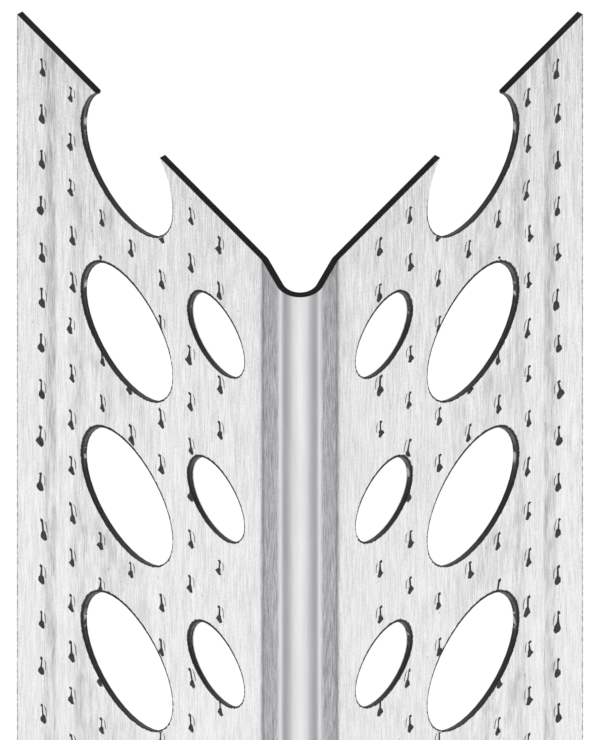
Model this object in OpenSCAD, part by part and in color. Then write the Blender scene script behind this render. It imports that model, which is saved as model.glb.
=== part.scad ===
// Drywall corner bead: one strip of galvanised sheet, roll-formed to two punched wings
// that meet in a raised round nose. It lies on a level floor on its two wing edges,
// nose up, with its length along Y. All sizes are in millimetres.

/* [Stock] */
// Length as sold (8 ft)
length = 2438; // [150:1:3050]
// Thickness of the sheet
sheet = 0.45; // [0.35:0.05:0.6]

/* [Section] */
// Angle between the two wings, as rolled and before it is sprung over a corner
fold_angle = 72; // [64:1:90]
// Width of a wing's outer face, from the edge to where both outer faces would meet (1 1/4 in)
leg = 31.75; // [30:0.25:36]
// Outer radius of the nose
nose_r = 1.65; // [1.3:0.05:2]
// How much steeper than the wing each flank of the nose runs, in degrees
flank_turn = 13; // [8:1:16]
// Length of a flank, between the nose and the crease
flank_len = 2.45; // [2:0.05:3]
// Radius of the crease on the outer side, where flank turns into wing
crease_r = 0.6; // [0.3:0.1:1.2]

/* [Large holes] */
// Diameter
large_d = 10.4; // [9:0.1:11.5]
// Centre of the row from the wing's edge
large_in = 12.3; // [10:0.1:13]
// First centre from the near end, where the cut may run through a hole
large_start = 4.1; // [2:0.1:16]

/* [Small holes] */
// Diameter
small_d = 6.5; // [5:0.1:7]
// Centre of the row from the centre of the large row
row_gap = 10; // [9.5:0.1:10.5]
// How far each small hole is shifted along the length from its large one
stagger = 7.55; // [7:0.05:9]

/* [Pattern] */
// Spacing of the holes along each row
pitch = 15.9; // [15:0.05:20]

/* [Hidden] */
// A cut end that only grazes a hole would leave a sliver, so such a hole isn't punched
end_web = 0.4;
// How far a punch runs past each face of the sheet
punch_over = 0.5;
// Slopes below the level, in degrees
wing_slope = 90 - fold_angle / 2;
flank_slope = wing_slope + flank_turn;
// Outer face of the right half, from the crown (0, 0) outwards: end of the nose arc,
// start of the crease, centre of the crease arc and start of the wing
nose_end = nose_r * (outward(flank_slope) - outward(0));
crease_start = nose_end + flank_len * downward(flank_slope);
crease_mid = crease_start + crease_r * outward(flank_slope);
wing_start = crease_mid - crease_r * outward(wing_slope);
// The wing's flat, and the height of the crown above the floor
wing_flat = leg - wing_start.x / cos(wing_slope);
crown_z = wing_flat * sin(wing_slope) - wing_start.y + sheet * cos(wing_slope);
small_in = large_in + row_gap;
small_start = large_start + stagger;
// Flat steps in each round stretch of the section, and sides of a hole in the picture
nose_steps = 20;
crease_steps = 3;
$fn = 48;

// Unit vectors for a stretch of sheet that slopes down to the right: square to its outer
// face, and along it
function outward(slope) = [sin(slope), cos(slope)];
function downward(slope) = [cos(slope), -sin(slope)];
function reversed(list) = [for (i = [len(list) - 1 : -1 : 0]) list[i]];
function mirrored(list) = [for (p = list) [-p.x, p.y]];

// The slopes that the sheet passes through on its way round a bend
function bend(from, to, steps) = [for (i = [0 : steps]) from + (to - from) * i / steps];

// A face of the sheet lies a depth below its outer face. Its line on the right, from the
// crease to the wing's edge, and then all of it, from edge to edge over the nose
function wing_line(depth) = concat(
    [for (a = bend(flank_slope, wing_slope, crease_steps))
        crease_mid - (crease_r + depth) * outward(a)],
    [wing_start + wing_flat * downward(wing_slope) - depth * outward(wing_slope)]
);
function face_line(depth) = concat(
    reversed(mirrored(wing_line(depth))),
    [for (a = bend(-flank_slope, flank_slope, nose_steps))
        (nose_r - depth) * outward(a) - nose_r * outward(0)],
    wing_line(depth)
);

// The sheet's section, with the crown of the nose at the origin
module section() {
    polygon(concat(face_line(0), reversed(face_line(sheet))));
}

// The rolled strip before punching, cut square at both ends
module strip() {
    translate([0, length / 2, crown_z])
        rotate([90, 0, 0])
            linear_extrude(height = length)
                section();
}

// One row of punches through the right wing, a given distance in from its edge
module punch_row(d, from_edge, start) {
    last = floor((length - start + d / 2) / pitch);
    translate([wing_start.x, 0, crown_z + wing_start.y])
        rotate([0, wing_slope, 0])
            for (i = [0 : last]) {
                y = start + i * pitch;
                near_web = abs(y - d / 2);
                far_web = abs(length - y - d / 2);
                if (min(near_web, far_web) > end_web)
                    translate([wing_flat - from_edge, y - length / 2, -sheet - punch_over])
                        cylinder(d = d, h = sheet + 2 * punch_over);
            }
}

module wing_punches() {
    punch_row(large_d, large_in, large_start);
    punch_row(small_d, small_in, small_start);
}

module corner_bead() {
    color("silver")
        difference() {
            strip();
            wing_punches();
            mirror([1, 0, 0])
                wing_punches();
        }
}

corner_bead();
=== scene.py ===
# %% [markdown]
# # A drywall corner bead
# The object is one long strip of galvanised steel sheet, folded to a V with a raised round nose.
# Both wings are punched with large and small holes and pricked all over, so that joint compound
# keys into them. This lesson rebuilds it over a imported CAD model that fixes its size and place.
# The CAD box is read first, because the strip's length, ends and camera are taken from it. The
# CAD box is kept first, because the finished model has to stay inside it.

import math

import bmesh
import bpy
import numpy as np
from mathutils import Matrix, Vector


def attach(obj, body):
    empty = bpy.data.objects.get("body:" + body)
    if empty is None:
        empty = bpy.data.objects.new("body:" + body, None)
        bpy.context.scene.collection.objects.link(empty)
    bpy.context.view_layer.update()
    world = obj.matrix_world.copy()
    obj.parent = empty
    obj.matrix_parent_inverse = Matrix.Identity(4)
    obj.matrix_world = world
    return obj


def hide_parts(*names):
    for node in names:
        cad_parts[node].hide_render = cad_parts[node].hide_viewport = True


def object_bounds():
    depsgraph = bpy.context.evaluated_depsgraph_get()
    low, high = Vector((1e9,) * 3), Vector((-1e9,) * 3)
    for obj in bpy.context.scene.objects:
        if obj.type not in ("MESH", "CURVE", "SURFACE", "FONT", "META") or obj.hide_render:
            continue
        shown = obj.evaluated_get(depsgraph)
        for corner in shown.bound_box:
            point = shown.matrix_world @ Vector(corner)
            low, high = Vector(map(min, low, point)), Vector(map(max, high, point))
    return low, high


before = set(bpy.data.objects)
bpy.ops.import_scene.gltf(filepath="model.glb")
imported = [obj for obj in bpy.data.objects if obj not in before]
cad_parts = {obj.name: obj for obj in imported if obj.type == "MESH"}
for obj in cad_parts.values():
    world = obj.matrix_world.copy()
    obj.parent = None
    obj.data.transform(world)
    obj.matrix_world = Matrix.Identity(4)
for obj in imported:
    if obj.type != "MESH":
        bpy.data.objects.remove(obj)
cad_low, cad_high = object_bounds()
scene = bpy.context.scene
scene.view_settings.view_transform = "Standard"
print("CAD box", [round(v, 5) for v in (*cad_low, *cad_high)])

# %% [markdown]
# ## The folded section
# The sheet is described by its outer face: a round nose, a steep flank, a small crease and a flat
# wing. Every bend is an arc whose slope below the level is the running parameter, so one formula
# gives both the point and the direction that the face looks in. The sizes are those of the CAD
# source, and the length comes from the frame.

# %% Driving sizes and the outer line
MM = 0.001
SHEET = 0.45 * MM
LEG = 31.75 * MM
NOSE_R = 1.65 * MM
FLANK_LEN = 2.45 * MM
CREASE_R = 0.6 * MM
FOLD_ANGLE = math.radians(72)
FLANK_TURN = math.radians(13)
WING_SLOPE = math.pi / 2 - FOLD_ANGLE / 2
FLANK_SLOPE = WING_SLOPE + FLANK_TURN
LENGTH = cad_high.y - cad_low.y
NEAR_END = cad_low.y


def outward(slope):
    """Unit normals in the section, sine across and cosine up, of a face that slopes down to the right."""
    return np.stack([np.sin(slope), np.cos(slope)], axis=-1)


def downward(slope):
    """Unit directions in the section, cosine across and minus sine up, that run down along the face."""
    return np.stack([np.cos(slope), -np.sin(slope)], axis=-1)


EDGE_X = LEG * math.cos(WING_SLOPE)
EDGE_Z = SHEET * math.cos(WING_SLOPE)
CREASE_MID = (
    NOSE_R * (outward(FLANK_SLOPE) - outward(0))
    + FLANK_LEN * downward(FLANK_SLOPE)
    + CREASE_R * outward(FLANK_SLOPE)
)
WING_START = CREASE_MID - CREASE_R * outward(WING_SLOPE)
WING_FLAT = LEG - WING_START[0] / math.cos(WING_SLOPE)
CROWN_Z = EDGE_Z + WING_FLAT * math.sin(WING_SLOPE) - WING_START[1]
print("crown", round(CROWN_Z / MM, 3), "mm, CAD", round(cad_high.z / MM, 3), "mm")


def nose_line(nose_steps, crease_steps):
    """Outer line from one wing's start over the nose to the other's, as (x, z) points.

    The nose is a circle point at each slope from minus to plus the flank's, and each crease is the
    far side of a small circle, from the flank's slope to the wing's.
    """
    nose = NOSE_R * (outward(np.linspace(-FLANK_SLOPE, FLANK_SLOPE, nose_steps + 1)) - outward(0))
    crease = CREASE_MID - CREASE_R * outward(np.linspace(FLANK_SLOPE, WING_SLOPE, crease_steps + 1))
    line = np.concatenate([crease[::-1] * [-1, 1], nose, crease])
    return line + [0, CROWN_Z]


def on_wing(u, y, side, height=0.0):
    """Point of a wing: u in from its edge up the slope, y along the length, height off the outer face."""
    x = EDGE_X - u * math.cos(WING_SLOPE) + height * math.sin(WING_SLOPE)
    z = EDGE_Z + u * math.sin(WING_SLOPE) + height * math.cos(WING_SLOPE)
    return np.stack(np.broadcast_arrays(side * x, y, z), axis=-1)


# %% [markdown]
# ## The punched wings
# A flat wing with hundreds of round holes could be cut by booleans, but each cut would leave long
# thin triangles. Here a wing is tiled instead: every hole has a rectangular cell, and the cell is a
# band between its border and the hole's rim, so the mesh runs neatly round each hole. The cells of
# the two rows are shifted against each other by half a spacing and still share their border points.

# %% The rows of holes
PITCH = 15.9 * MM
LARGE_R = 5.2 * MM
SMALL_R = 3.25 * MM
LARGE_U = 12.3 * MM
SMALL_U = 22.3 * MM
LARGE_START = 4.1 * MM
STAGGER = 7.55 * MM
LARGE_Y = NEAR_END + LARGE_START + PITCH * np.arange(math.ceil((LENGTH - LARGE_START) / PITCH + 0.5))
SMALL_Y = np.concatenate([LARGE_Y[:1] - PITCH, LARGE_Y]) + STAGGER
print(len(LARGE_Y), "large and", len(SMALL_Y), "small cells a wing")

# %% [markdown]
# A punch doesn't leave a perfect circle: on two sides of each hole the rim is drawn a little inwards
# as a burr. A burr is given by the way in which it lies, a power that makes it narrow, and a height.

# %% One hole's cell
BURRS = ((math.radians(205), 4, 0.2 * MM), (math.radians(55), 2, 0.15 * MM))
LARGE_HALF = 6 * MM
SMALL_HALF = SMALL_U - LARGE_U - LARGE_HALF
ALONG = 12
ACROSS_LARGE = 8
ACROSS_SMALL = 6


def hole_cell(radius, half_u, low, high, across):
    """Border and rim of one cell, as (u, y) about the hole's centre.

    The border is four sides of equal steps. The rim takes equal angles between the corners. Its
    radius is the hole's, less each burr: a height times a power of the cosine about the burr's way.
    """
    corners = np.array([(-half_u, low), (half_u, low), (half_u, high), (-half_u, high), (-half_u, low)])
    turn = np.unwrap(np.arctan2(corners[:, 1], corners[:, 0]))
    border, circle = [], []
    for i, steps in enumerate((across, ALONG, across, ALONG)):
        t = np.arange(steps)[:, None] / steps
        border.append(corners[i] + (corners[i + 1] - corners[i]) * t)
        angle = turn[i] + (turn[i + 1] - turn[i]) * t
        burrs = [height * np.clip(np.cos(angle - way), 0, 1) ** power for way, power, height in BURRS]
        rim = radius - sum(burrs)
        circle.append(rim * np.concatenate([np.cos(angle), np.sin(angle)], axis=1))
    return np.concatenate(border), np.concatenate(circle)


large_cell = hole_cell(LARGE_R, LARGE_HALF, -PITCH / 2, PITCH / 2, ACROSS_LARGE)
small_cell = hole_cell(SMALL_R, SMALL_HALF, -STAGGER, PITCH - STAGGER, ACROSS_SMALL)
print("rim points:", len(large_cell[1]), "large,", len(small_cell[1]), "small")

# %% [markdown]
# The cells are copied along the wing as whole arrays. Plain strips join them to the wing's edge and
# to the nose. The strips have few points on their plain side, so they are fans of triangles.

# %% Tiles of the outer face
MOUTH = 0.52 * MM
NOSE_STEPS = 28
CREASE_STEPS = 4


class Surface:
    """Collects patches of points and faces, and gives them out as one list of each."""

    def __init__(self):
        self.points, self.faces, self.count = [], [], 0

    def add(self, points, faces):
        points, faces = np.reshape(points, (-1, 3)), np.asarray(faces) + self.count
        self.points.append(points)
        self.faces += faces.tolist()
        self.count += len(points)


def copies(template, number, stride):
    """The faces of a template repeated for a number of copies, each stride points further on."""
    shift = stride * np.arange(number)
    faces = shift[:, None, None] + np.asarray(template)[None]
    return faces.reshape(-1, faces.shape[-1])


def add_cells(surface, cell, centre_u, centres_y, side, mouth=0.0):
    """One row of hole cells: quads between the border and the rim of every cell.

    The hole that the near end cuts open gapes there: its width grows by the mouth on either side,
    with the square of the way from the hole's centre to the end.
    """
    border, circle = cell
    n = len(border)
    ring = np.concatenate([border, circle])
    i, j = np.arange(n), np.roll(np.arange(n), -1)
    quads = np.stack([i, i + n, j + n, j] if side > 0 else [i, j, j + n, i + n], axis=1)
    u = centre_u + np.repeat(ring[None, :, 0], len(centres_y), axis=0)
    u[0, n:] += mouth * np.sign(circle[:, 0]) * np.clip(-circle[:, 1] / LARGE_START, 0, 1) ** 2
    points = on_wing(u, centres_y[:, None] + ring[None, :, 1], side)
    surface.add(points, copies(quads, len(centres_y), 2 * n))


def add_fans(surface, u_fine, u_plain, starts_y, side):
    """A strip between a row of cells and a plain line: many points on one side, one step on the other."""
    fine = np.stack([np.full(ALONG + 1, u_fine), PITCH * np.arange(ALONG + 1) / ALONG], axis=1)
    plain = np.array([(u_plain, 0.0), (u_plain, PITCH)])
    ring = np.concatenate([fine, plain])
    k = np.arange(ALONG)
    apex = np.where(k < ALONG // 2, ALONG + 1, ALONG + 2)
    tris = np.concatenate([np.stack([k, k + 1, apex], axis=1), [[ALONG // 2, ALONG + 2, ALONG + 1]]])
    if (u_plain > u_fine) != (side > 0):
        tris = tris[:, ::-1]
    points = on_wing(ring[None, :, 0], starts_y[:, None] + ring[None, :, 1], side)
    surface.add(points, copies(tris, len(starts_y), len(ring)))


def add_nose(surface, line, rows_y):
    """The nose and flanks: the outer line carried along the length, one step a spacing."""
    n = len(line)
    x, z = line.T
    points = np.stack(np.broadcast_arrays(x[None], rows_y[:, None], z[None]), axis=-1)
    i = np.arange(n - 1)
    quads = np.stack([i, i + 1, i + n + 1, i + n], axis=1)
    surface.add(points, copies(quads, len(rows_y) - 1, n))


bead = Surface()
for side in (1, -1):
    add_cells(bead, large_cell, LARGE_U, LARGE_Y, side, MOUTH)
    add_cells(bead, small_cell, SMALL_U, SMALL_Y, side)
    add_fans(bead, LARGE_U - LARGE_HALF, 0.0, LARGE_Y - PITCH / 2, side)
    add_fans(bead, SMALL_U + SMALL_HALF, WING_FLAT, SMALL_Y - STAGGER, side)
add_nose(bead, nose_line(NOSE_STEPS, CREASE_STEPS), np.append(SMALL_Y, SMALL_Y[-1] + PITCH) - STAGGER)
print("outer face:", bead.count, "points,", len(bead.faces), "faces")

# %% [markdown]
# ## Cutting it to length
# The tiles run a little past both ends. A plane cuts them square, which also opens the first large
# holes, just as a saw or shear does on the real strip. The face's open edges are marked sharp, so
# that the walls of the sheet will meet its faces in a crisp line.

# %% The outer face, cut square
TOUCH = 0.001 * MM
ON_PLANE = 1e-7


def mesh_from(name, points, faces):
    """A mesh object of these points and faces, at the origin."""
    mesh = bpy.data.meshes.new(name)
    mesh.from_pydata(points, [], faces)
    mesh.update()
    obj = bpy.data.objects.new(name, mesh)
    scene.collection.objects.link(obj)
    return obj


def cut_square(obj, low, high):
    """Joins the tiles' shared points and removes what lies past either end."""
    bm = bmesh.new()
    bm.from_mesh(obj.data)
    bmesh.ops.remove_doubles(bm, verts=bm.verts, dist=TOUCH)
    for place, way in ((low, -1), (high, 1)):
        everything = bm.verts[:] + bm.edges[:] + bm.faces[:]
        bmesh.ops.bisect_plane(
            bm, geom=everything, dist=ON_PLANE, plane_co=(0, place, 0), plane_no=(0, way, 0), clear_outer=True
        )
    bm.to_mesh(obj.data)
    bm.free()


def edge_facts(mesh):
    """Which edges are open, the two points of every edge, and the places of all points, as arrays."""
    use = np.empty(len(mesh.loops), np.int32)
    mesh.loops.foreach_get("edge_index", use)
    ends = np.empty(2 * len(mesh.edges), np.int32)
    mesh.edges.foreach_get("vertices", ends)
    place = np.empty(3 * len(mesh.vertices))
    mesh.vertices.foreach_get("co", place)
    opened = np.bincount(use, minlength=len(mesh.edges)) == 1
    return opened, ends.reshape(-1, 2), place.reshape(-1, 3)


def sharpen(mesh):
    """Marks as sharp the open edges and the two lines where the wings start."""
    opened, ends, place = edge_facts(mesh)
    from_start = np.abs(np.abs(place[:, 0]) - WING_START[0])[ends]
    sharp = opened | (from_start.max(axis=1) < TOUCH)
    mesh.shade_smooth()
    mesh.attributes.new("sharp_edge", "BOOLEAN", "EDGE").data.foreach_set("value", sharp)


sheet = mesh_from("bead_sheet", np.concatenate(bead.points), bead.faces)
cut_square(sheet, cad_low.y, cad_high.y)
sharpen(sheet.data)
print("sheet:", len(sheet.data.polygons), "faces before its thickness")

# %% [markdown]
# ## Thickness and leaning walls
# A Solidify modifier makes the sheet's thickness inwards and gives the hole walls and cut ends their
# own finish. A punch pulls the wall along with it, so the walls lean a little along the strip. For
# that, the rims are a vertex group, which is multiplied with the group of the inner face that
# Solidify fills, and a Displace modifier moves only the points that are in both.

# %% The sheet
WALL_LEAN = 0.3 * MM


def hole_rims(mesh):
    """Numbers of the points on open edges that lie neither at an end nor on a wing's edge."""
    opened, ends, place = edge_facts(mesh)
    points = np.unique(ends[opened])
    x, y = np.abs(place[points, 0]), place[points, 1] - NEAR_END
    return points[(x < EDGE_X - TOUCH) & (y > TOUCH) & (y < LENGTH - TOUCH)]


rim_points = hole_rims(sheet.data).tolist()
rims = sheet.vertex_groups.new(name="hole rims")
rims.add(rim_points, 1.0, "REPLACE")
inner_face = sheet.vertex_groups.new(name="inner face")

thick = sheet.modifiers.new("sheet thickness", "SOLIDIFY")
thick.thickness = SHEET
thick.offset = -1
thick.use_even_offset = True
thick.material_offset_rim = 1
thick.shell_vertex_group = inner_face.name

only_inner = sheet.modifiers.new("inner rims only", "VERTEX_WEIGHT_MIX")
only_inner.vertex_group_a, only_inner.vertex_group_b = rims.name, inner_face.name
only_inner.mix_set, only_inner.mix_mode = "ALL", "MUL"

lean = sheet.modifiers.new("leaning walls", "DISPLACE")
lean.vertex_group = rims.name
lean.direction, lean.strength, lean.mid_level = "Y", WALL_LEAN, 0.0
print("sheet:", len(rim_points), "points on hole rims,", [m.name for m in sheet.modifiers])

# %% [markdown]
# ## The pin-pricks
# Between the holes the wings are pricked in straight rows: a narrow slit that opens into a small
# drop-shaped gap, with a tongue of sheet bent beside it. Slit and gap are a near-black patch on the
# sheet, painted shade of the hollow, and the tongue's near-black walls are its painted shadow.
# Thousands of them would be far too many for modelling by hand, so one outline is written down once
# and copied as a whole array, with a little spread in size and turn. A point that would fall into a
# punched hole is moved out to the hole's rim, as the punch shears a prick that it meets.

# %% Where the pricks are
PRICK_FIRST_U = 2.77 * MM
PRICK_STEP_U = 3.332 * MM
PRICK_COLUMNS = 7
PRICK_FIRST_Y = 1.83 * MM
PRICK_STEP_Y = 4.449 * MM
PRICK_END_GAP = 2 * MM
PLACE_SPREAD = 0.04 * MM
spread = np.random.default_rng(7)


def prick_places():
    """Grid of prick origins (u, y) on one wing with a little scatter, and the column number of each."""
    u = PRICK_FIRST_U + PRICK_STEP_U * np.arange(PRICK_COLUMNS)
    y = NEAR_END + np.arange(PRICK_FIRST_Y, LENGTH - PRICK_END_GAP, PRICK_STEP_Y)
    grid = np.stack(np.meshgrid(u, y), axis=-1).reshape(-1, 2)
    return grid + spread.normal(0, PLACE_SPREAD, grid.shape), np.tile(np.arange(PRICK_COLUMNS), len(y))


def from_hole(u, y):
    """Offsets from the centre of the nearest hole on the wing, and its radius."""
    along_large = np.mod(y - LARGE_Y[0] + PITCH / 2, PITCH) - PITCH / 2
    along_small = np.mod(y - SMALL_Y[0] + PITCH / 2, PITCH) - PITCH / 2
    large = np.hypot(u - LARGE_U, along_large) / LARGE_R < np.hypot(u - SMALL_U, along_small) / SMALL_R
    du = np.where(large, u - LARGE_U, u - SMALL_U)
    dy = np.where(large, along_large, along_small)
    return du, dy, np.where(large, LARGE_R, SMALL_R)


def pushed_to_rim(flat):
    """Moves each point that lies in a hole out to its rim, and gives the share moved of every outline."""
    du, dy, radius = from_hole(flat[..., 0], flat[..., 1])
    far = np.hypot(du, dy)
    inside = far < radius
    push = np.where(inside, radius / np.maximum(far, TOUCH) - 1, 0)
    return flat + push[..., None] * np.stack([du, dy], -1), inside.mean(axis=1)


print("pricks: rows of", PRICK_COLUMNS, "every", round(PRICK_STEP_Y / MM, 2), "mm along each wing")

# %% [markdown]
# An outline is a list of points (u, y) from the top of the slit, with the tongue beside it. The
# outermost pins leave a full drop, the others a pointed lozenge, and each prick is a mixture of the
# two. It becomes a low closed prism that stands out of the sheet by a hair, so that nothing flickers.

# %% The outline of a prick
# The gap's prism is near black: painted shade in the slit and the drop.
DROP = MM * np.array([
    (-0.22, 0.28), (-0.11, 0.03), (0.13, -0.09), (0.08, 0.14), (0.11, 0.90), (0.34, 0.98), (0.42, 1.32),
    (0.38, 1.58), (0.20, 1.80), (-0.09, 1.88), (-0.34, 1.84), (-0.28, 1.46), (-0.09, 1.10), (-0.08, 0.34),
])
LOZENGE = MM * np.array([
    (-0.27, 0.33), (-0.18, 0.06), (0.08, 0.04), (0.09, 0.22), (0.12, 0.90), (0.22, 0.98), (0.25, 1.25),
    (0.37, 1.48), (0.10, 1.83), (-0.12, 1.72), (-0.37, 1.68), (-0.22, 1.36), (-0.07, 1.04), (-0.07, 0.36),
])
TONGUE = MM * np.array([(0.17, 0.16), (0.31, -0.06), (0.47, 0.22), (0.52, 0.85), (0.24, 0.70)])
TONGUE_RISE = MM * np.array([0.012, 0.018, 0.036, 0.028, 0.012])
GAP_RISE = 0.012 * MM
SUNK = -0.03 * MM


def spread_outlines(outlines, places, sizes, turns):
    """An outline (u, y) at every place, each scaled and turned about the top of its slit."""
    c, s = np.cos(turns), np.sin(turns)
    turn = np.stack([np.stack([c, -s], -1), np.stack([s, c], -1)], -2)
    return places[:, None] + sizes[:, None, None] * np.einsum("kij,knj->kni", turn, outlines)


def prick_prisms(flat, rise, side):
    """Low closed prisms: each outline at its rise above the face and again a little below it.

    Returns points, caps, bases and walls, with every face looking outwards.
    """
    number, n = flat.shape[:2]
    top = on_wing(flat[..., 0], flat[..., 1], side, rise)
    low = on_wing(flat[..., 0], flat[..., 1], side, SUNK)
    i, j = np.arange(n), np.roll(np.arange(n), -1)
    walls = np.stack([i, i + n, j + n, j], axis=1)
    cap, base = i, i[::-1] + n
    if side > 0:
        cap, base, walls = cap[::-1], base[::-1], walls[:, ::-1]
    points = np.concatenate([top, low], axis=1)
    return points, *(copies(f, number, 2 * n) for f in (cap[None], base[None], walls))


print("outlines of", len(DROP), "points for the gap and", len(TONGUE), "for the tongue")

# %% [markdown]
# All pricks of a wing are made at once, and every one differs a little: in its share of the drop, its
# size, its turn and the place of each point. A gap that lies almost wholly in a hole is left out, and
# so is a tongue that the hole would cut.

# %% Making the pricks
OUTER_SHARE, INNER_SHARE, SHARE_SPREAD = 0.9, 0.2, 0.12
OUTER_SIZE, INNER_SIZE, SIZE_SPREAD = 0.97, 0.92, 0.06
TURN_SPREAD = 0.08
POINT_SPREAD = 0.025 * MM
GAP_LOST = 0.7


def prick_outlines():
    """Gap and tongue outlines of one wing's pricks, less those that the holes take away."""
    places, column = prick_places()
    number = len(places)
    drop_share = np.where(column == 0, OUTER_SHARE, INNER_SHARE) + spread.normal(0, SHARE_SPREAD, number)
    sizes = np.where(column == 0, OUTER_SIZE, INNER_SIZE) * spread.normal(1, SIZE_SPREAD, number)
    turns = spread.normal(0, TURN_SPREAD, number)
    mixed = LOZENGE + drop_share[:, None, None] * (DROP - LOZENGE)
    mixed = mixed + spread.normal(0, POINT_SPREAD, mixed.shape)
    gap, gap_lost = pushed_to_rim(spread_outlines(mixed, places, sizes, turns))
    flap = np.broadcast_to(TONGUE, (number, *TONGUE.shape))
    flap, flap_lost = pushed_to_rim(spread_outlines(flap, places, sizes, turns))
    return gap[gap_lost < GAP_LOST], flap[flap_lost == 0]


prick_pieces = []
for side, name in ((1, "right"), (-1, "left")):
    gap_shades, tongues = prick_outlines()
    # Gap pieces are near-black patches of painted shade; tongues are zinc with near-black walls as painted
    # shadow.
    for kind, flat, rise in (("gap_shades", gap_shades, GAP_RISE), ("tongues", tongues, TONGUE_RISE)):
        points, caps, bases, walls = prick_prisms(flat, rise, side)
        faces = caps.tolist() + bases.tolist() + walls.tolist()
        piece = mesh_from(f"prick_{kind}_{name}", points.reshape(-1, 3), faces)
        finish = (np.arange(len(faces)) >= len(caps)).astype(np.int32)
        piece.data.polygons.foreach_set("material_index", finish)
        prick_pieces.append(piece)
        print(piece.name, len(flat), "pricks,", sum(len(f) - 2 for f in faces), "triangles")

# %% [markdown]
# ## Places on the wing, for the materials
# The finish follows the punching: painted shade of the rolled-over rim round each hole, soft smears
# beside the pricks and painted shade of dents between the holes. The materials find these places by
# the same sizes as the geometry. Short helpers first make the node trees readable as formulas.

# %% Node helpers
def node(tree, kind, **settings):
    """Adds a node and sets its properties or, by name, its inputs."""
    made = tree.nodes.new(kind)
    for key, value in settings.items():
        if hasattr(made, key):
            setattr(made, key, value)
        else:
            made.inputs[key.replace("_", " ")].default_value = value
    return made


def feed(tree, made, values):
    """Gives a node's first inputs these sockets or plain numbers. Returns its output."""
    for place, value in enumerate(values):
        if isinstance(value, bpy.types.NodeSocket):
            tree.links.new(value, made.inputs[place])
        else:
            made.inputs[place].default_value = value
    return made.outputs[0]


def math_node(tree, operation, *values):
    """A Math node on sockets or plain numbers."""
    return feed(tree, node(tree, "ShaderNodeMath", operation=operation), values)


def product(tree, value, *others):
    """Values multiplied together."""
    for other in others:
        value = math_node(tree, "MULTIPLY", value, other)
    return value


def scaled(tree, value, by, plus):
    """A value times a second one, plus a third."""
    return math_node(tree, "MULTIPLY_ADD", value, by, plus)


# %% [markdown]
# One node group turns a point into wing coordinates: the way in from the wing's edge, the way along
# from the near end, and the depth below the outer face. It is the inverse of on_wing.

# %% Wing coordinates
def object_place(tree):
    """The three Object coordinates."""
    parts = node(tree, "ShaderNodeSeparateXYZ")
    tree.links.new(node(tree, "ShaderNodeTexCoord").outputs["Object"], parts.inputs[0])
    return parts.outputs


def new_group(name, outputs):
    """An empty shader group with value outputs: the tree and its output sockets by name."""
    group = bpy.data.node_groups.new(name, "ShaderNodeTree")
    for output in outputs:
        group.interface.new_socket(output, in_out="OUTPUT", socket_type="NodeSocketFloat")
    return group, node(group, "NodeGroupOutput").inputs


def wing_place_group():
    """In, Along and Depth: Object coordinates turned into the wing's own directions."""
    group, out = new_group("wing_place", ("In", "Along", "Depth"))
    x, y, z = object_place(group)
    inward = math_node(group, "SUBTRACT", EDGE_X, math_node(group, "ABSOLUTE", x))
    raised = math_node(group, "SUBTRACT", z, EDGE_Z)
    c, s = math.cos(WING_SLOPE), math.sin(WING_SLOPE)
    group.links.new(scaled(group, inward, c, product(group, raised, s)), out["In"])
    group.links.new(math_node(group, "SUBTRACT", y, NEAR_END), out["Along"])
    group.links.new(scaled(group, inward, s, product(group, raised, -c)), out["Depth"])
    return group


WING_PLACE = wing_place_group()
print("wing coordinates in", len(WING_PLACE.nodes), "nodes")

# %% [markdown]
# ## Rolling lines
# Rolling leaves fine lines along the strip. They are noise on Object coordinates with its length
# stretched: lines and grain on the wings, lines with less grain where the rolls drew the bends, and
# soft broad ones over everything.

# %% Rolling lines
FINE_WIDTH = 0.1 * MM
FINE_LENGTH = 2.6 * MM
GRAIN_LENGTH = 0.22 * MM
DRAWN_LENGTH = 1.8 * MM
BROAD_WIDTH = 0.8 * MM
BROAD_LENGTH = 9 * MM
GRAIN_SHARE, DRAWN_GRAIN_SHARE = 0.28, 0.18


def vector(tree, *values):
    """A vector of three sockets or plain numbers."""
    return feed(tree, node(tree, "ShaderNodeCombineXYZ"), values)


def stretched_noise(tree, width, length, detail=3.0, rough=0.6, seed=0.0):
    """Noise about 0.5 in patches of a width across and a length along the strip."""
    x, y, z = object_place(tree)
    place = vector(
        tree,
        math_node(tree, "DIVIDE", x, width),
        scaled(tree, y, 1 / length, seed),
        math_node(tree, "DIVIDE", z, width),
    )
    noise = node(tree, "ShaderNodeTexNoise", Scale=1.0, Detail=detail, Roughness=rough)
    tree.links.new(place, noise.inputs["Vector"])
    return noise.outputs["Fac"]


def rolling_lines_group():
    """Fine: thin short lines. Broad: wider soft ones. Drawn: those of the bends. All are about 0.5."""
    group, out = new_group("rolling_lines", ("Fine", "Broad", "Drawn"))
    grain = stretched_noise(group, FINE_WIDTH, GRAIN_LENGTH, detail=1.0, seed=7.0)
    short = product(group, stretched_noise(group, FINE_WIDTH, FINE_LENGTH), 1 - GRAIN_SHARE)
    drawn = stretched_noise(group, FINE_WIDTH, DRAWN_LENGTH, detail=2.0, seed=12.0)
    drawn = product(group, drawn, 1 - DRAWN_GRAIN_SHARE)
    broad = stretched_noise(group, BROAD_WIDTH, BROAD_LENGTH, detail=2.0, seed=31.0)
    group.links.new(scaled(group, grain, GRAIN_SHARE, short), out["Fine"])
    group.links.new(scaled(group, grain, DRAWN_GRAIN_SHARE, drawn), out["Drawn"])
    group.links.new(broad, out["Broad"])
    return group


ROLLING_LINES = rolling_lines_group()
print("rolling lines:", [socket.name for socket in ROLLING_LINES.interface.items_tree])
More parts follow.
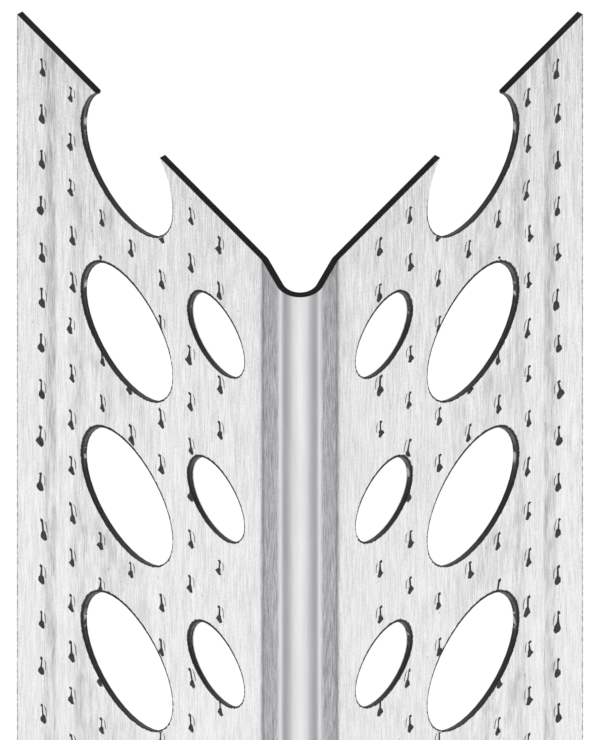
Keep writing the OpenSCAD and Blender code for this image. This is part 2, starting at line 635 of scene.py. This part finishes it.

# %% [markdown]
# ## Marks of punching, and the lip's painted shade
# The punch rolls the sheet's skin over at each rim, most towards the near end. The roll-over is not
# modelled: its shade is painted as a dark ring. The lip mask is the distance to the rim, with the
# same burrs as the geometry, and a little noise makes it ragged. The walls need to know on which side
# of a hole they are, so the group puts that out too.

# %% Punch marks
# Sizes of the ring of painted shade where each rim is rolled over.
LIP_SHADE_WIDTH = 0.1 * MM
LIP_SHADE_SOFT = 0.04 * MM
LIP_SHADE_RAGGED = 0.25 * MM
RAGGED_SIZE = 0.25 * MM
LIP_SHADE_MORE = (
    (math.radians(280), 2, 0.12 * MM), (math.radians(15), 2, -0.06 * MM), (math.radians(80), 2, 0.07 * MM),
)
RIM_WAVES = (*LIP_SHADE_MORE, *((way, power, -height) for way, power, height in BURRS))
HOLE_ROWS = ((LARGE_U, LARGE_START, LARGE_R), (SMALL_U, LARGE_START + STAGGER, SMALL_R))


def use_group(tree, group):
    """Places a group in a tree. Returns its outputs."""
    made = node(tree, "ShaderNodeGroup")
    made.node_tree = group
    return made.outputs


def fade(tree, value, start, end, first=0.0, last=1.0):
    """A smooth step: the first level up to start, the last one from end on."""
    made = node(tree, "ShaderNodeMapRange", interpolation_type="SMOOTHSTEP")
    return feed(tree, made, (value, start, end, first, last))


def fold_in(tree, value, start, low, high):
    """A value counted from a start and repeated in the range from low to high."""
    return math_node(tree, "WRAP", math_node(tree, "SUBTRACT", value, start), high, low)


def from_rim(group, centre, start, radius):
    """The distance from the inner line of the rim's painted shade ring, and the side of the hole from minus 1
    to 1, for one row.

    The line's radius is the hole's plus waves, each a height times a power of the cosine about a way.
    """
    u, along, _ = use_group(group, WING_PLACE)
    du = math_node(group, "SUBTRACT", u, centre)
    dy = fold_in(group, along, start, -PITCH / 2, PITCH / 2)
    far = math_node(group, "SQRT", scaled(group, du, du, product(group, dy, dy)))
    rim = radius
    for way, power, height in RIM_WAVES:
        share = scaled(group, du, math.cos(way), product(group, dy, math.sin(way)))
        share = math_node(group, "DIVIDE", math_node(group, "MAXIMUM", share, 0.0), far)
        rim = scaled(group, math_node(group, "POWER", share, power), height, rim)
    return math_node(group, "SUBTRACT", far, rim), math_node(group, "DIVIDE", dy, -radius)


def punch_marks_and_lip_shade_group():
    """LipShade: 1 on a narrow ragged ring of painted shade round each hole, wider on the side towards the
    near end.

    Near goes from minus 1 on the hole's far side to 1 towards the near end. Small is 1 by the small
    holes.
    """
    group, out = new_group("punch_marks_and_lip_shade", ("LipShade", "Near", "Small"))
    (large_ring, large_side), (small_ring, small_side) = (from_rim(group, *row) for row in HOLE_ROWS)
    nearest = math_node(group, "MINIMUM", large_ring, small_ring)
    ragged = math_node(group, "SUBTRACT", stretched_noise(group, RAGGED_SIZE, RAGGED_SIZE, seed=43.0), 0.5)
    nearest = scaled(group, ragged, LIP_SHADE_RAGGED, nearest)
    small = math_node(group, "LESS_THAN", small_ring, large_ring)
    change = math_node(group, "SUBTRACT", small_side, large_side)
    group.links.new(fade(group, nearest, LIP_SHADE_WIDTH, LIP_SHADE_WIDTH + LIP_SHADE_SOFT, 1.0, 0.0), out["LipShade"])
    group.links.new(scaled(group, small, change, large_side), out["Near"])
    group.links.new(small, out["Small"])
    return group


PUNCH_MARKS_AND_LIP_SHADE = punch_marks_and_lip_shade_group()
print("punch marks in", len(PUNCH_MARKS_AND_LIP_SHADE.nodes), "nodes")

# %% [markdown]
# ## Smears beside the pricks, and painted dent shade
# Grey smears run as a stripe just inside each column of pricks, weaker towards the nose. On the webs
# between the large holes the sheet is slightly dished, and the shade of these dents is painted as
# darker patches. Stretched noise breaks both up into thin streaks.

# %% Prick smears and dent shade
SMEAR_REACH = 5 * MM
SMEAR_LEAD = 0.2 * MM
SMEAR_FIRST_GAP = 0.3 * MM
SMEAR_RISE = (0.2 * MM, 0.8 * MM)
SMEAR_GROWTH = (0.4 * MM, 1.6 * MM, 0.75, 1.15)
SMEAR_FALL = (1.6 * MM, 2.0 * MM, 1.0, 0.0)
# Where and how the painted shade of the shallow dents lies on the webs between the large holes.
WEB_ALONG = (3.5 * MM, 6.5 * MM)
WEB_RISE = (5 * MM, 7.5 * MM)
WEB_FALL = (11 * MM, 17 * MM, 1.0, 0.0)
DENT_SHADE_SHARE = 0.6
PATCH_SIZE, PATCHES = (0.7 * MM, 4 * MM), (0.3, 0.66, 0.15, 1.15)
DENT_SHADE_SIZE, DENT_SHADE_PATCHES = (0.9 * MM, 3.6 * MM), (0.38, 0.7)
STREAK_SIZE, STREAKS = (0.11 * MM, 1.6 * MM), (0.28, 0.72, 0.5, 1.5)


def dying_out(tree, value, reach):
    """1 at nothing, and a factor e less for each reach that the value grows."""
    return math_node(tree, "POWER", math.e, math_node(tree, "DIVIDE", value, -reach))


def column_stripes(group, u):
    """A stripe that rises, grows and falls once for each column of pricks, and dies out inwards."""
    phase = fold_in(group, u, PRICK_FIRST_U - SMEAR_LEAD, 0.0, PRICK_STEP_U)
    stripe = product(group, *(fade(group, phase, *step) for step in (SMEAR_RISE, SMEAR_GROWTH, SMEAR_FALL)))
    inner = math_node(group, "MAXIMUM", math_node(group, "SUBTRACT", u, PRICK_FIRST_U), 0.0)
    begun = math_node(group, "GREATER_THAN", u, PRICK_FIRST_U - SMEAR_FIRST_GAP)
    patchy = fade(group, stretched_noise(group, *PATCH_SIZE, seed=5.0), *PATCHES)
    return product(group, stripe, dying_out(group, inner, SMEAR_REACH), patchy, begun)


def web_dent_shade(group, u, along):
    """Painted shade of shallow dents between the large holes of a row, strongest midway and on the side of
    the wing's edge.
    """
    between = math_node(group, "ABSOLUTE", fold_in(group, along, LARGE_START, -PITCH / 2, PITCH / 2))
    across = product(group, fade(group, u, *WEB_RISE), fade(group, u, *WEB_FALL))
    dent_patches = fade(group, stretched_noise(group, *DENT_SHADE_SIZE, seed=19.0), *DENT_SHADE_PATCHES)
    return product(group, fade(group, between, *WEB_ALONG), across, dent_patches)


def prick_stripes_and_dent_shade_group():
    """StripesAndDentShade: the stripes and a share of the painted dent shade, together broken into thin
    streaks.
    """
    group, out = new_group("prick_stripes_and_dent_shade", ("StripesAndDentShade",))
    u, along, _ = use_group(group, WING_PLACE)
    # Grey stripes beside the pricks, plus a share of the painted dent shade.
    level = scaled(group, web_dent_shade(group, u, along), DENT_SHADE_SHARE, column_stripes(group, u))
    streaks = fade(group, stretched_noise(group, *STREAK_SIZE, detail=2.0, seed=61.0), *STREAKS)
    group.links.new(product(group, level, streaks), out["StripesAndDentShade"])
    return group


PRICK_STRIPES_AND_DENT_SHADE = prick_stripes_and_dent_shade_group()
print("prick smears in", len(PRICK_STRIPES_AND_DENT_SHADE.nodes), "nodes")

# %% [markdown]
# ## Zinc
# Zinc on rolled steel is a bright satin metal. The forming rolls press hardest on the nose and leave
# its flanks burnished with a trace of violet. Over this, the light and shade of the round section is
# painted into the colour: dark shoulders on the nose, a painted highlight line where the flank meets
# the round, flanks greyed partly by painted shade, and a painted shade line in the crease. A Color
# Ramp over the distance from the middle gives these bands their tone. A place is in mm from the
# middle, and the level beside it is how light the zinc is there.

# %% Bands of zinc, with painted light and shade
BAND_REACH = 4 * MM


def zinc_tone(level):
    """Nearly neutral zinc, a trace bluer than grey."""
    return level * 0.995, level * 0.995, level * 1.01


def burnished_and_shaded_tone(level):
    """Rolled zinc with a trace of violet, at levels that are partly painted shade."""
    return level, level * 0.99, level * 1.045


# Nose: the crown, darker shoulders as painted shade, and a painted highlight line at 1.29 mm.
NOSE_PAINTED_LIGHT_BANDS = [
    (0.00, zinc_tone(0.80)), (0.13, zinc_tone(0.77)), (0.46, zinc_tone(0.73)), (0.72, zinc_tone(0.58)),
    (0.90, burnished_and_shaded_tone(0.50)), (1.06, burnished_and_shaded_tone(0.51)), (1.29, zinc_tone(0.86)),
]
# Flanks: grey partly from burnishing and partly painted shade; the dip at 2.4 mm is a painted shade line in
# the crease.
FLANK_PAINTED_SHADE_BANDS = [
    (1.52, burnished_and_shaded_tone(0.45)), (1.70, burnished_and_shaded_tone(0.40)), (2.30, burnished_and_shaded_tone(0.39)),
    (2.40, burnished_and_shaded_tone(0.25)), (2.45, burnished_and_shaded_tone(0.24)),
]
# Wing: darker just past the crease, where the painted crease shade runs out.
WING_BANDS = [(2.58, zinc_tone(0.68)), (2.68, zinc_tone(0.86)), (4.00, zinc_tone(0.90))]
BANDS_WITH_PAINTED_LIGHT = NOSE_PAINTED_LIGHT_BANDS + FLANK_PAINTED_SHADE_BANDS + WING_BANDS


def ramp(tree, value, stops, smooth="LINEAR"):
    """A Color Ramp of colour stops (place, colour) on a value. Returns its colour."""
    made = node(tree, "ShaderNodeValToRGB")
    made.color_ramp.interpolation = smooth
    points = made.color_ramp.elements
    while len(points) < len(stops):
        points.new(0.5)
    for point, (place, colour) in zip(points, stops):
        point.position = place
        point.color = (*colour, 1)
    tree.links.new(value, made.inputs[0])
    return made.outputs[0]


def times(tree, colour, value):
    """A colour multiplied by a value."""
    made = node(tree, "ShaderNodeVectorMath", operation="SCALE")
    tree.links.new(colour, made.inputs[0])
    tree.links.new(value, made.inputs["Scale"])
    return made.outputs[0]


print("zinc bands:", len(BANDS_WITH_PAINTED_LIGHT), "stops out to", round(BAND_REACH / MM, 1), "mm from the middle")

# %% [markdown]
# The marks then lighten or darken the bands' tone: rolling lines, smears beside the pricks, painted
# shade of shallow dents between the holes and of the rolled-over lip round each hole, a dotted line
# along the wing's edge and a few specks. Towards the cut end the wings are a little darker, a painted
# shade where the light falls off. Each mark takes a share of the tone, and everything is multiplied
# together into Base Color. Metallic falls to nothing on the lips' painted shade and the edge line,
# which keeps them dark at any angle.

# %% Zinc sheet
LINE_DEPTH = 1.35
BEND_DEPTH = 3.4
BROAD_DEPTH = 0.24
STRIPE_AND_DENT_SHADE_DEPTH = 0.36
# Painted shade where the light falls off towards the cut end, and the lines it makes stronger.
END_SHADE_DEPTH = 0.16
END_SHADE_REACH = 14 * MM
END_SHADE_LINES = 0.6
END_SHADE_FLANKS, END_SHADE_WINGS = (0.7 * MM, 1.6 * MM, 0.0, 0.6), (3 * MM, 6 * MM, 0.0, 0.4)
ON_WINGS = (0.7 * MM, 2.6 * MM, 0.2, 1.0)
FLANK_RISE, FLANK_FALL = (1.3 * MM, 1.6 * MM), (2.4 * MM, 2.7 * MM, 1.0, 0.0)
LIP_SHADE_DEPTH = 0.975
EDGE_DEPTH = 0.75
EDGE_LINE = (0.06 * MM, 0.16 * MM, 1.0, 0.0)
DOT_SIZE, DOTS = (0.3 * MM, 0.5 * MM), (0.42, 0.58, 0.3, 1.0)
SPECK_DEPTH = 0.45
SPECK_CELL = 2.3 * MM
SPECK_SIZE = (0.025, 0.045, 1.0, 0.0)
METAL = 0.9
ROUGHEST, SMOOTHEST = 0.52, 0.32
BUMP_STRENGTH, BUMP_HEIGHT = 0.15, 0.02 * MM


def new_material(name):
    """A node material, its tree and its Principled shader."""
    material = bpy.data.materials.new(name)
    material.use_nodes = True
    tree = material.node_tree
    return material, tree, tree.nodes["Principled BSDF"]


def specks(tree):
    """1 on small dark specks, which lie about one cell apart: near the points of a Voronoi pattern."""
    dots = node(tree, "ShaderNodeTexVoronoi", Scale=1 / SPECK_CELL)
    tree.links.new(node(tree, "ShaderNodeTexCoord").outputs["Object"], dots.inputs["Vector"])
    return fade(tree, dots.outputs["Distance"], *SPECK_SIZE)


def end_falloff_shade(tree, middle, along):
    """Painted shade of light falling off: 1 at the near end, dying out along the strip, none on the crown and
    part of it on the flanks.
    """
    off_crown = math_node(tree, "ADD", fade(tree, middle, *END_SHADE_FLANKS), fade(tree, middle, *END_SHADE_WINGS))
    return product(tree, dying_out(tree, along, END_SHADE_REACH), off_crown)


def rolled_tone(tree, middle, end_shade):
    """A tone about 1: the lines of the wings and the bends, times the broad ones.

    Also gives the fine lines and the mask of the wings.
    """
    fine, broad, drawn = use_group(tree, ROLLING_LINES)
    on_wings = fade(tree, middle, *ON_WINGS)
    on_flanks = product(tree, fade(tree, middle, *FLANK_RISE), fade(tree, middle, *FLANK_FALL))
    stronger = scaled(tree, end_shade, END_SHADE_LINES, 1.0)
    lines = product(tree, math_node(tree, "SUBTRACT", fine, 0.5), on_wings, stronger)
    bends = product(tree, math_node(tree, "SUBTRACT", drawn, 0.5), on_flanks)
    tone = scaled(tree, lines, LINE_DEPTH, scaled(tree, bends, BEND_DEPTH, 1.0))
    return product(tree, tone, scaled(tree, broad, BROAD_DEPTH, 1 - BROAD_DEPTH / 2)), fine, on_wings


def zinc_sheet():
    """Satin zinc: the bands' colour, painted light and shade included, times the rolled tone, less a share
    for every mark.
    """
    material, tree, shader = new_material("zinc_sheet")
    middle = math_node(tree, "ABSOLUTE", object_place(tree)["X"])
    u, along, _ = use_group(tree, WING_PLACE)
    band_place = math_node(tree, "DIVIDE", middle, BAND_REACH)
    # The bands carry painted light and shade over the nose, flanks and creases.
    band_with_painted_light = ramp(tree, band_place, [(place * MM / BAND_REACH, colour) for place, colour in BANDS_WITH_PAINTED_LIGHT])
    # Painted shade where the light falls off towards the cut end.
    end_shade = end_falloff_shade(tree, middle, along)
    tone, fine, on_wings = rolled_tone(tree, middle, end_shade)
    # Painted shade of the rolled-over rim round each hole.
    lip_shade = use_group(tree, PUNCH_MARKS_AND_LIP_SHADE)["LipShade"]
    # Grey stripes beside the pricks, with the painted shade of dents between the holes.
    stripes_and_dent_shade = use_group(tree, PRICK_STRIPES_AND_DENT_SHADE)["StripesAndDentShade"]
    dotted = fade(tree, stretched_noise(tree, *DOT_SIZE, seed=23.0), *DOTS)
    edge = product(tree, fade(tree, u, *EDGE_LINE), dotted)
    speck = product(tree, specks(tree), on_wings)
    marks = (
        (stripes_and_dent_shade, STRIPE_AND_DENT_SHADE_DEPTH), (end_shade, END_SHADE_DEPTH), (lip_shade, LIP_SHADE_DEPTH), (edge, EDGE_DEPTH), (speck, SPECK_DEPTH),
    )
    for mark, depth in marks:
        tone = product(tree, tone, scaled(tree, mark, -depth, 1.0))
    lip_shade_and_edge_line = math_node(tree, "MAXIMUM", lip_shade, edge)
    bump = node(tree, "ShaderNodeBump", Strength=BUMP_STRENGTH, Distance=BUMP_HEIGHT)
    tree.links.new(fine, bump.inputs["Height"])
    tree.links.new(times(tree, band_with_painted_light, tone), shader.inputs["Base Color"])
    tree.links.new(scaled(tree, lip_shade_and_edge_line, -METAL, METAL), shader.inputs["Metallic"])
    tree.links.new(scaled(tree, fine, ROUGHEST - SMOOTHEST, SMOOTHEST), shader.inputs["Roughness"])
    tree.links.new(bump.outputs[0], shader.inputs["Normal"])
    shader.inputs["Specular IOR Level"].default_value = 0.05
    return material


zinc = zinc_sheet()
print(zinc.name, "in", len(zinc.node_tree.nodes), "nodes")

# %% [markdown]
# ## Sheared edges
# A punched wall is bare, torn steel and looks nearly black, partly by its own colour and partly as
# painted shade. A smooth cut stripe runs in the middle of the sheet's thickness and is painted lighter
# on the side towards the near end. A short painted glint sits on the turn of each hole, and a thin line
# of zinc is drawn over the inner rim, wider on the small holes as a painted sheen. The cut at the near
# end has only the torn steel, darker still as painted shade. Depth counts in sheet thicknesses here.

# %% Sheared edge
STRIPE_RISE, STRIPE_FALL = (0.15, 0.4), (0.55, 0.85, 1.0, 0.0)
STRIPE_LIGHT_BY_SIDE = (-0.7, 0.2, 0.02, 0.11)
STRIPE_PATCHES = (0.3, 0.7, 0.5, 1.5)
WALL_PATCH = 0.8 * MM
TORN_SIZE = 0.12 * MM
# The steel's near-black level is partly painted shade.
TORN_AND_SHADE_LEVEL = (0.3, 0.7, 0.017, 0.043)
GLINT_RISE, GLINT_FALL, GLINT_DEPTH = (-0.3, -0.15), (0.0, 0.15, 1.0, 0.0), (0.35, 0.55)
GLINT_LEVEL = (0.5, 0.56, 0.0, 0.8)
DRAWN_ZINC_AND_SHEEN = (0.92, 1.0)
SMALL_HOLE_SHEEN = 0.1
CUT_END = (0.02 * MM, 0.3 * MM)
CUT_END_SHADE_LEVEL = 0.5
BRIGHTEST = 0.85
WALL_METAL = (0.15, 0.5, 0.0, 0.8)


def grey(level):
    """A colour of three equal levels."""
    return level, level, level


def hole_wall(tree, torn_and_shaded):
    """How light a hole's wall is: the stripe, painted lighter on the near-end side, added to the dark steel,
    or the painted glint or drawn zinc with its painted sheen if lighter.
    """
    _, _, depth = use_group(tree, WING_PLACE)
    depth = math_node(tree, "DIVIDE", depth, SHEET)
    _, near, small = use_group(tree, PUNCH_MARKS_AND_LIP_SHADE)
    patchy = stretched_noise(tree, WALL_PATCH, WALL_PATCH)
    stripe = product(tree, fade(tree, depth, *STRIPE_RISE), fade(tree, depth, *STRIPE_FALL))
    # The stripe is painted lighter on the near-end side of each hole, as the light it would catch there.
    stripe = product(tree, stripe, fade(tree, near, *STRIPE_LIGHT_BY_SIDE), fade(tree, patchy, *STRIPE_PATCHES))
    # A painted glint on the turn of each hole.
    glint = product(tree, fade(tree, near, *GLINT_RISE), fade(tree, near, *GLINT_FALL))
    glint = product(tree, glint, fade(tree, depth, *GLINT_DEPTH), fade(tree, patchy, *GLINT_LEVEL))
    # Zinc drawn over the back of the wall; on the small holes it reaches further as a painted sheen.
    drawn_zinc_and_sheen = fade(tree, scaled(tree, small, SMALL_HOLE_SHEEN, depth), *DRAWN_ZINC_AND_SHEEN)
    light = math_node(tree, "MAXIMUM", glint, drawn_zinc_and_sheen)
    return math_node(tree, "MAXIMUM", math_node(tree, "ADD", stripe, torn_and_shaded), light)


def sheared_edge():
    """Torn steel, nearly black partly as painted shade, with the hole wall's light parts, which fade out at
    the cut end.
    """
    material, tree, shader = new_material("sheared_edge")
    _, along, _ = use_group(tree, WING_PLACE)
    torn_and_shaded = fade(tree, stretched_noise(tree, TORN_SIZE, TORN_SIZE, seed=3.0), *TORN_AND_SHADE_LEVEL)
    on_holes = product(tree, hole_wall(tree, torn_and_shaded), fade(tree, along, *CUT_END))
    # The cut end keeps half of the steel's level, darker still as painted shade.
    level = math_node(tree, "MAXIMUM", on_holes, product(tree, torn_and_shaded, CUT_END_SHADE_LEVEL))
    colour = ramp(tree, level, [(0.0, grey(0.0)), (1.0, grey(BRIGHTEST))])
    tree.links.new(colour, shader.inputs["Base Color"])
    tree.links.new(fade(tree, level, *WALL_METAL), shader.inputs["Metallic"])
    shader.inputs["Specular IOR Level"].default_value = 0.08
    shader.inputs["Roughness"].default_value = 0.5
    return material


sheared = sheared_edge()
print(sheared.name, "in", len(sheared.node_tree.nodes), "nodes")

# %% [markdown]
# ## Prick shade, and handing out the finishes
# A prick's gap is drawn as a near-black patch, painted shade of its hollow, a little lighter in small
# patches as faint painted highlights. Every piece then gets two finishes, one for its outer face and
# one for its walls; the walls of the pricks, tongues included, take the same near-black as painted
# shadow.

# %% Prick shade and finishes
PRICK_GLINT_SIZE = 0.2 * MM
PRICK_SHADE_TONES = [(0.3, grey(0.012)), (0.7, grey(0.075))]


def prick_shade():
    """Rough near-black as painted shade, a little lighter in small patches as faint painted highlights."""
    material, tree, shader = new_material("prick_shade")
    patches = stretched_noise(tree, PRICK_GLINT_SIZE, PRICK_GLINT_SIZE)
    tree.links.new(ramp(tree, patches, PRICK_SHADE_TONES), shader.inputs["Base Color"])
    shader.inputs["Roughness"].default_value = 0.8
    shader.inputs["Specular IOR Level"].default_value = 0.2
    return material


# The near-black finish: painted shade on the gaps, painted shadow on the walls of gaps and tongues.
opened = prick_shade()
for piece in (sheet, *prick_pieces):
    outer = opened if "gap_shades" in piece.name else zinc
    for material in (outer, sheared if piece is sheet else opened):
        piece.data.materials.append(material)
    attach(piece, "root")
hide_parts("corner_bead")
print("materials:", [m.name for m in (zinc, sheared, opened)])

# %% [markdown]
# ## Camera
# The lines of the picture stay parallel, so the camera is orthographic. It looks along the strip and
# down on the nose, with the cut end at the top of the picture. The picture's scale and the place of
# the crown at the cut end fix the camera: pixels become metres by one number.

# %% Camera
PICTURE_HIGH = 740
PIXELS_PER_M = 15165
CROWN_PIXEL_Y = 297.4
VIEW_TILT = math.radians(46.9)
CAMERA_FAR = 0.6
forward = Vector((0, math.sin(VIEW_TILT), -math.cos(VIEW_TILT)))
upward = Vector((0, -math.cos(VIEW_TILT), -math.sin(VIEW_TILT)))
crown_at_end = Vector((0, cad_low.y, cad_high.z))
aim = crown_at_end - upward * (PICTURE_HIGH / 2 - CROWN_PIXEL_Y) / PIXELS_PER_M
lens = bpy.data.cameras.new("camera")
lens.type = "ORTHO"
lens.ortho_scale = PICTURE_HIGH / PIXELS_PER_M
camera = bpy.data.objects.new("camera", lens)
scene.collection.objects.link(camera)
turn = Matrix((forward.cross(upward), upward, -forward)).transposed().to_4x4()
camera.matrix_world = Matrix.Translation(aim - forward * CAMERA_FAR) @ turn
scene.camera = camera
print("picture is", round(lens.ortho_scale / MM, 2), "mm high")

# %% [markdown]
# ## Floor
# A plain white floor carries the bead. Seen directly or in a reflection it is plain white with a
# faint shadow: a glow and a little diffuse shading, added together. To other rays it is a pale matt
# floor. Light Path tells the rays apart.

# %% Floor
FLOOR_HALF = 6.0
FLOOR_GLOW = 0.95
FLOOR_SHADING = 0.12
FLOOR_PALE = 0.8


def white_floor():
    """A mixture of two shaders by the kind of ray."""
    material, tree, shader = new_material("white_floor")
    shader.inputs["Base Color"].default_value = (*grey(FLOOR_PALE), 1)
    shader.inputs["Roughness"].default_value = 1.0
    glow = node(tree, "ShaderNodeEmission", Strength=FLOOR_GLOW)
    shaded = node(tree, "ShaderNodeBsdfDiffuse", Color=(*grey(FLOOR_SHADING), 1))
    both = feed(tree, node(tree, "ShaderNodeAddShader"), (glow.outputs[0], shaded.outputs[0]))
    path = node(tree, "ShaderNodeLightPath")
    seen = math_node(tree, "MAXIMUM", path.outputs["Is Camera Ray"], path.outputs["Is Glossy Ray"])
    seen = math_node(tree, "MAXIMUM", seen, path.outputs["Is Transmission Ray"])
    mix = feed(tree, node(tree, "ShaderNodeMixShader"), (seen, shader.outputs[0], both))
    tree.links.new(mix, tree.nodes["Material Output"].inputs["Surface"])
    return material


corners = FLOOR_HALF * np.array([(-1, -1, 0), (1, -1, 0), (1, 1, 0), (-1, 1, 0)])
floor = mesh_from("floor", corners, [(0, 1, 2, 3)])
floor.data.materials.append(white_floor())
print("floor is", 2 * FLOOR_HALF, "m wide")

# %% [markdown]
# ## Light
# The world is soft and pale with a dimmer horizon, which darkens the round nose's shoulders over the
# shade already painted there. Seen directly it is plain white. One weak lamp above the strip adds a
# little direction.

# %% Light
SKY = [(0.0, grey(0.62)), (0.15, grey(0.62)), (0.6, grey(0.96)), (1.0, grey(1.0))]
LAMP_PLACE = (0, 0.9, 1.2)
LAMP_SIZE = 1.6
LAMP_WATTS = 2
world = bpy.data.worlds.new("studio")
scene.world = world
world.use_nodes = True
tree = world.node_tree
rise = node(tree, "ShaderNodeSeparateXYZ")
tree.links.new(node(tree, "ShaderNodeTexCoord").outputs["Generated"], rise.inputs[0])
white = node(tree, "ShaderNodeMix", data_type="RGBA")
tree.links.new(node(tree, "ShaderNodeLightPath").outputs["Is Camera Ray"], white.inputs["Factor"])
tree.links.new(ramp(tree, rise.outputs["Z"], SKY, "EASE"), white.inputs[6])
white.inputs[7].default_value = (1, 1, 1, 1)
tree.links.new(white.outputs[2], tree.nodes["Background"].inputs["Color"])


def soft_lamp(name, place, size, watts):
    """A square area lamp at a place, aimed at the origin."""
    lamp = bpy.data.lights.new(name, "AREA")
    lamp.shape, lamp.size, lamp.energy = "SQUARE", size, watts
    obj = bpy.data.objects.new(name, lamp)
    obj.location = place
    obj.rotation_euler = (-Vector(place)).to_track_quat("-Z", "Y").to_euler()
    scene.collection.objects.link(obj)


soft_lamp("key", LAMP_PLACE, LAMP_SIZE, LAMP_WATTS)
